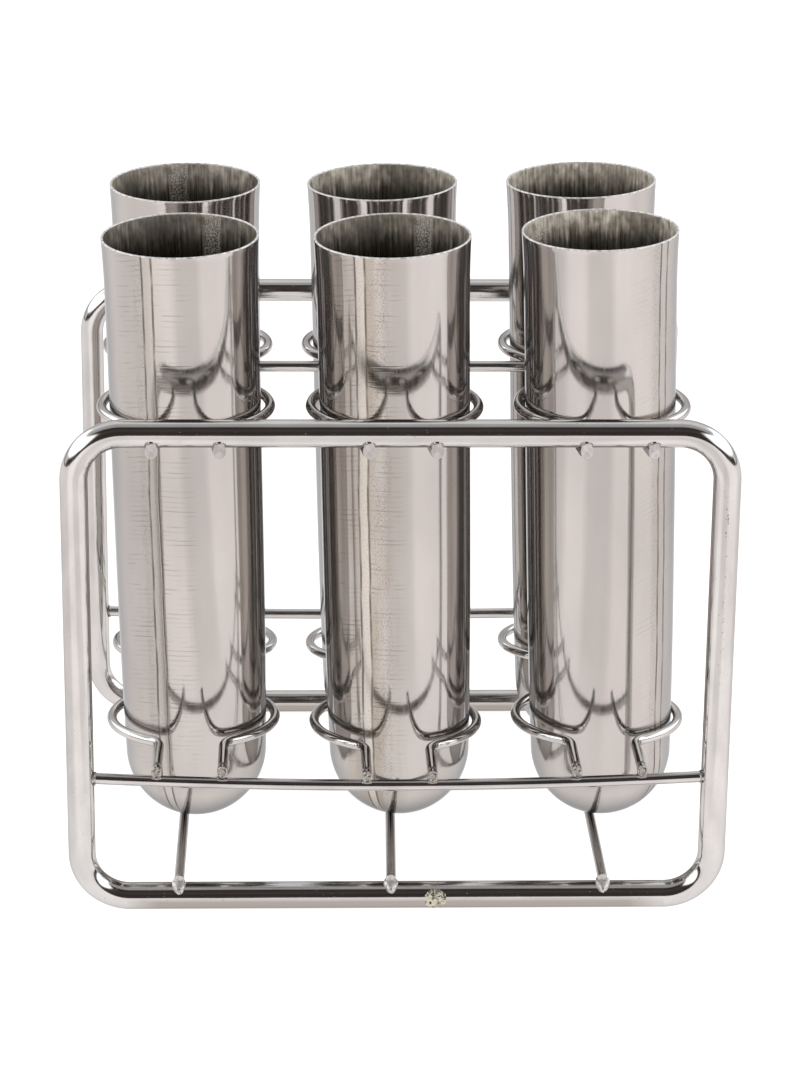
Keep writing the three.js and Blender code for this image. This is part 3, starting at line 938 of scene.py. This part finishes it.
def ring_outline(measure, stretch):
    """Half a ring with its leg, from tip to closed end, as steps aside and outward from its middle."""
    radius = measure["radius"]
    half = measure["leg_half"]
    reach = radius * stretch
    middle_out = measure["closed_out"] + reach
    across = half + LEG_FILLET
    outward = math.sqrt((radius + LEG_FILLET) ** 2 - across**2)
    meeting = math.atan2(outward, across)
    leg = [(half, measure["tip_out"] - middle_out)]
    for turn in np.linspace(math.pi, math.pi + meeting, FILLET_STEPS):
        leg.append((across + LEG_FILLET * math.cos(turn), outward + LEG_FILLET * math.sin(turn)))
    for turn in np.linspace(meeting, -math.pi / 2, HALF_RING_STEPS)[1:]:
        aside = radius * math.cos(turn)
        along = radius * math.sin(turn)
        leg.append((aside, along if along > 0 else along * stretch))
    return dense(leg, LEG_STEP), middle_out


def ring_path(measure, row, stretch):
    """Points along a ring's wire, from the tip of one leg round to the tip of the other."""
    half, middle_out = ring_outline(measure, stretch)
    mirrored = half[:-1] * np.array([-1, 1])
    flat = np.vstack([mirrored, half[::-1]])
    out = flat[:, 1] + middle_out
    run = measure["tip_out"] - measure["closed_out"]
    inward = (measure["tip_out"] - out) / run
    tip = half[0, 1]
    shifted = np.clip((flat[:, 1] - tip * (1 - LEG_SHIFT)) / (tip * LEG_SHIFT), 0, 1)
    x = measure["centre_x"] + flat[:, 0] + shifted * (measure["tip_x"] - measure["centre_x"])
    z = measure["tip_z"] + (measure["closed_z"] - measure["tip_z"]) * inward
    return np.stack([x, out * ROWS[row], z], axis=-1)


def build_ring(level, row, column):
    """A wire ring round a tube, with two legs welded to its loop or crossbar."""
    node = f"{level}_ring_{row}_{column}"
    measure = ring_measures(node, row)
    stretch = FRONT_UPPER_STRETCH if (level, row) == ("upper", "front") else 1.0
    if level == "upper":
        low, high = node_box(f"{row}_loop")
        measure["tip_out"] = max(ROWS[row] * low[1], ROWS[row] * high[1]) - UPPER_TIP_INSET
    else:
        measure["tip_out"] -= LOWER_TIP_INSET
    path = ring_path(measure, row, stretch)
    travel = lengths(path)
    nearest = np.minimum(travel, travel[-1] - travel)
    at_tip = smooth_step((TIP_RUN - nearest) / (TIP_RUN - TIP_FLAT))
    growth = UPPER_TIP_GROWTH if level == "upper" else LOWER_TIP_GROWTH
    if level == "upper":
        path[:, 2] += UPPER_TIP_RISE * at_tip
    tall = measure["wire"] * (1 + growth[0] * at_tip)
    wide = measure["wire"] * (1 + growth[1] * at_tip)
    surface = Surface()
    ends = CUT_END if level == "upper" else HOLLOW_END
    sweep(surface, path, (tall, wide), np.array([0, 0, 1.0]), WIRE_SIDES, ends=ends)
    cap = cut_steel if level == "upper" else dark_weld
    place(surface.build(f"{node}_wire", [ring_steel, cap]), "rack", "ring_wire", node)
    return measure


def tube_measures(node):
    """Axis, middle of the round bottom, length and radii of a tube, read off its node and joint."""
    joint = next(entry for entry in frame["joints"] if entry["child"] == node)
    axis = np.array(joint["axis"])
    axis /= np.linalg.norm(axis)
    points = node_points(node)
    height = points @ axis
    rim = points[height > height.max() - TOUCH]
    rim_middle = (rim.min(axis=0) + rim.max(axis=0)) / 2
    offset = points - rim_middle
    away = np.linalg.norm(offset - np.outer(offset @ axis, axis), axis=1)
    below_rim = height.max() - height
    flare = away[np.abs(below_rim - FLARE_LENGTH) < TOUCH].max()
    length = height.max() - height.min() + TUBE_SETTLE
    dome = away[below_rim > length - flare].max()
    return {
        "axis": axis,
        "rim_middle": rim_middle,
        "length": length,
        "rim": away[below_rim < TOUCH].max(),
        "flare": flare,
        "dome": dome,
    }


def tube_profile(measure):
    """Radius and height of the wall, from the outside of the bottom over the rim to the inside."""
    dome = measure["dome"]
    rim_height = measure["length"] - dome
    flare_height = rim_height - FLARE_LENGTH
    quarter = np.linspace(-math.pi / 2, 0, DOME_STEPS)
    outer = [(dome * math.cos(turn), dome * math.sin(turn)) for turn in quarter]
    shrunk = 1 - TUBE_WALL / dome
    inner = [(radius * shrunk, height * shrunk) for radius, height in outer]
    wall = []
    for share in np.linspace(0, 1, WALL_STEPS)[1:]:
        swell = WALL_SWELL * SWELL_SCALE * share * (1 - share) ** 2
        wall.append((dome + (measure["flare"] - dome) * share + swell, flare_height * share))
    lip = RIM_WALL / 2
    for share in np.linspace(0, 1, FLARE_STEPS)[1:]:
        widened = (measure["rim"] - measure["flare"]) * share**FLARE_CURVE
        wall.append((measure["flare"] + widened, flare_height + (FLARE_LENGTH - lip) * share))
    inside_wall = []
    for radius, height in wall:
        thinning = smooth_step((height - flare_height) / FLARE_LENGTH)
        inside_wall.append((radius - TUBE_WALL + (TUBE_WALL - RIM_WALL) * thinning, height))
    edge = []
    for turn in np.linspace(0, math.pi, LIP_STEPS + 2)[1:-1]:
        edge.append((measure["rim"] - lip + lip * math.cos(turn), rim_height - lip + lip * math.sin(turn)))
    outside = outer + wall
    inside = inside_wall[::-1] + inner[::-1]
    finish = [0] * (len(outside) - 1) + [2] * (len(edge) + 1) + [1] * (len(inside) - 1)
    return np.array(outside + edge + inside), np.array(finish)


def build_tube(node):
    """A thin-walled tube with a closed round bottom, open and slightly flared at the top."""
    measure = tube_measures(node)
    profile, finish = tube_profile(measure)
    rim_height = measure["length"] - measure["dome"]
    axis = measure["axis"]
    bottom = measure["rim_middle"] - axis * rim_height
    facing = np.array(CAMERA_EYE) - measure["rim_middle"]
    facing -= axis * (facing @ axis)
    facing /= np.linalg.norm(facing)
    seam_turn, worn_side, marked, browned, mouth_light_strength = TUBE_LOOKS[node]
    seam = np.array(Matrix.Rotation(math.radians(seam_turn), 3, Vector(axis)) @ Vector(facing))
    aside = np.cross(axis, seam)
    turns = np.linspace(-math.pi, math.pi, TUBE_SIDES + 1)
    circle = np.outer(np.cos(turns[:-1]), seam) + np.outer(np.sin(turns[:-1]), aside)
    rows = bottom + profile[:, 1, None, None] * axis + profile[:, 0, None, None] * circle[None]
    half_turn = math.pi * measure["flare"]
    outside = tube_outside(node, half_turn, rim_height, measure["dome"], worn_side, marked, browned)
    inside = tube_inside(node, half_turn, mouth_light_strength)
    surface = Surface()
    surface.add(rows, profile[:, 1] - rim_height, turns * measure["flare"], finish)
    place(surface.build(f"{node}_wall", (outside, inside, lip_steel)), node, "tube", node)


def build_ring_welds(row, column, upper, lower):
    """Small beads that hold a ring's legs and its closed end."""
    welds = Surface()
    bar_low, bar_high = node_box(f"{row}_lower_crossbar")
    bar = (bar_low + bar_high) / 2
    seed = 3.0 * COLUMNS.index(column) + 11 * ROWS[row]
    for side in (-1, 1):
        x = lower["tip_x"] + side * lower["leg_half"]
        under = np.array([x, bar[1], lower["tip_z"] - lower["wire"] * LEG_WELD_DROP])
        lump(welds, under, LEG_WELD, np.eye(3), seed + side)
    middle_low, middle_high = node_box("middle_upper_crossbar")
    middle = (middle_low + middle_high) / 2
    inner = ROWS[row] * upper["closed_out"]
    contact = np.array([upper["centre_x"], (middle[1] + inner) / 2, (middle[2] + upper["closed_z"]) / 2])
    lump(welds, contact, CLOSED_END_WELD, np.eye(3), seed + 2)
    place(welds.build(f"ring_welds_{row}_{column}", [dark_weld]), "rack", "ring_wire")


def floor_glow(finish, near):
    """Strength of the floor's own light, by direction and by distance from the part."""
    turn = finish.math("DIVIDE", finish.around, 2 * math.pi)
    shares = [(position, FLOOR_GLOW * share / FLOOR_PEAK) for position, share in FLOOR_SECTORS]
    sectors = finish.ramp(turn, *shares)
    distance = finish.ramp(finish.along, *FLOOR_FADE)
    faded = finish.product(sectors, distance, finish.math("SUBTRACT", 1.0, near))
    lifted = finish.math("MULTIPLY", near, NEAR_GLOW / FLOOR_PEAK)
    return finish.math("MULTIPLY", finish.math("ADD", faded, lifted), FLOOR_PEAK)


def build_floor():
    """A wide pale floor, lit from within so that it reads as white."""
    finish = Finish("floor_white")
    finish.shader.inputs["Metallic"].default_value = 0.0
    cloud = finish.noise(2, 2, 2)
    finish.coat(finish.ramp(cloud, (0.3, FLOOR_TONES[0]), (0.7, FLOOR_TONES[1])), 0.9)
    close, distant = NEAR_REACH
    near = finish.ramp(finish.along, (close, 1.0), (distant, 0.0))
    finish.feed(finish.shader.inputs["Emission Color"], finish.mix(near, FAR_TINT, NEAR_TINT))
    finish.feed(finish.shader.inputs["Emission Strength"], floor_glow(finish, near))
    reaches = np.linspace(FLOOR_REACH, 0, FLOOR_STEPS)
    turns = np.linspace(0, 2 * math.pi, FLOOR_SIDES + 1)
    circle = np.stack([np.cos(turns[:-1]), np.sin(turns[:-1]), np.zeros(FLOOR_SIDES)], axis=-1)
    surface = Surface()
    surface.add(reaches[:, None, None] * circle[None], reaches, turns)
    surface.build("floor", [finish.material])


def build_world():
    """A studio: dark in front and low, grey overhead, bright above and behind, a soft box at each side."""
    world = bpy.data.worlds.new("studio")
    bpy.context.scene.world = world
    world.use_nodes = True
    studio = Nodes(world.node_tree)
    direction = studio.node("ShaderNodeTexCoord").outputs["Generated"]
    aside, ahead, above = studio.node("ShaderNodeSeparateXYZ", direction).outputs
    forward = studio.math("MULTIPLY", ahead, -1.0)
    arch = studio.math("DIVIDE", studio.math("ARCTAN2", above, forward), math.pi)
    sky = studio.ramp(arch, *WORLD_ARCH)
    low = studio.ramp(above, *SIDE_HEIGHTS)
    sideways = studio.ramp(studio.math("ABSOLUTE", aside), *SIDE_REACH)
    panel = studio.product(low, sideways, SIDE_LIGHT)
    strength = studio.math("MAXIMUM", sky, panel)
    background = studio.node("ShaderNodeBackground", studio.ramp(strength, *WORLD_TINT), strength)
    studio.node("ShaderNodeOutputWorld", background.outputs[0])


def build_light(name, place_at, size, energy):
    """A wide soft light that is not itself mirrored in the metal."""
    lamp = bpy.data.lights.new(name, "AREA")
    lamp.shape = "DISK"
    lamp.size = size
    lamp.energy = energy
    light = bpy.data.objects.new(name, lamp)
    light.location = place_at
    light.rotation_euler = Vector(place_at).to_track_quat("Z", "Y").to_euler()
    light.visible_glossy = False
    bpy.context.scene.collection.objects.link(light)


def build_camera():
    """The photograph's camera, from its place, its three angles and its lens."""
    lens = bpy.data.cameras.new("camera")
    lens.lens = CAMERA_LENS
    lens.clip_start = CAMERA_NEAREST
    camera = bpy.data.objects.new("camera", lens)
    forward = Vector((
        math.sin(CAMERA_YAW) * math.cos(CAMERA_PITCH),
        math.cos(CAMERA_YAW) * math.cos(CAMERA_PITCH),
        math.sin(CAMERA_PITCH),
    ))
    level = Vector((math.cos(CAMERA_YAW), -math.sin(CAMERA_YAW), 0))
    upright = level.cross(forward)
    right = level * math.cos(CAMERA_ROLL) + upright * math.sin(CAMERA_ROLL)
    up = upright * math.cos(CAMERA_ROLL) - level * math.sin(CAMERA_ROLL)
    turn = Matrix((right, up, -forward)).transposed()
    camera.matrix_world = Matrix.Translation(CAMERA_EYE) @ turn.to_4x4()
    bpy.context.scene.collection.objects.link(camera)
    bpy.context.scene.camera = camera


for row in ROWS:
    build_loop(row)
    build_lower_crossbar(row)
    for column in COLUMNS:
        upper_ring = build_ring("upper", row, column)
        lower_ring = build_ring("lower", row, column)
        build_ring_welds(row, column, upper_ring, lower_ring)
        build_tube(f"tube_{row}_{column}")
build_butt_weld()
build_middle_crossbar()
for column in COLUMNS:
    build_bottom_rod(column)

build_floor()
build_world()
build_light("overhead", *OVERHEAD_LAMP)
build_light("fill", *FILL_LAMP)
build_camera()
bpy.context.scene.view_settings.view_transform = "Standard"
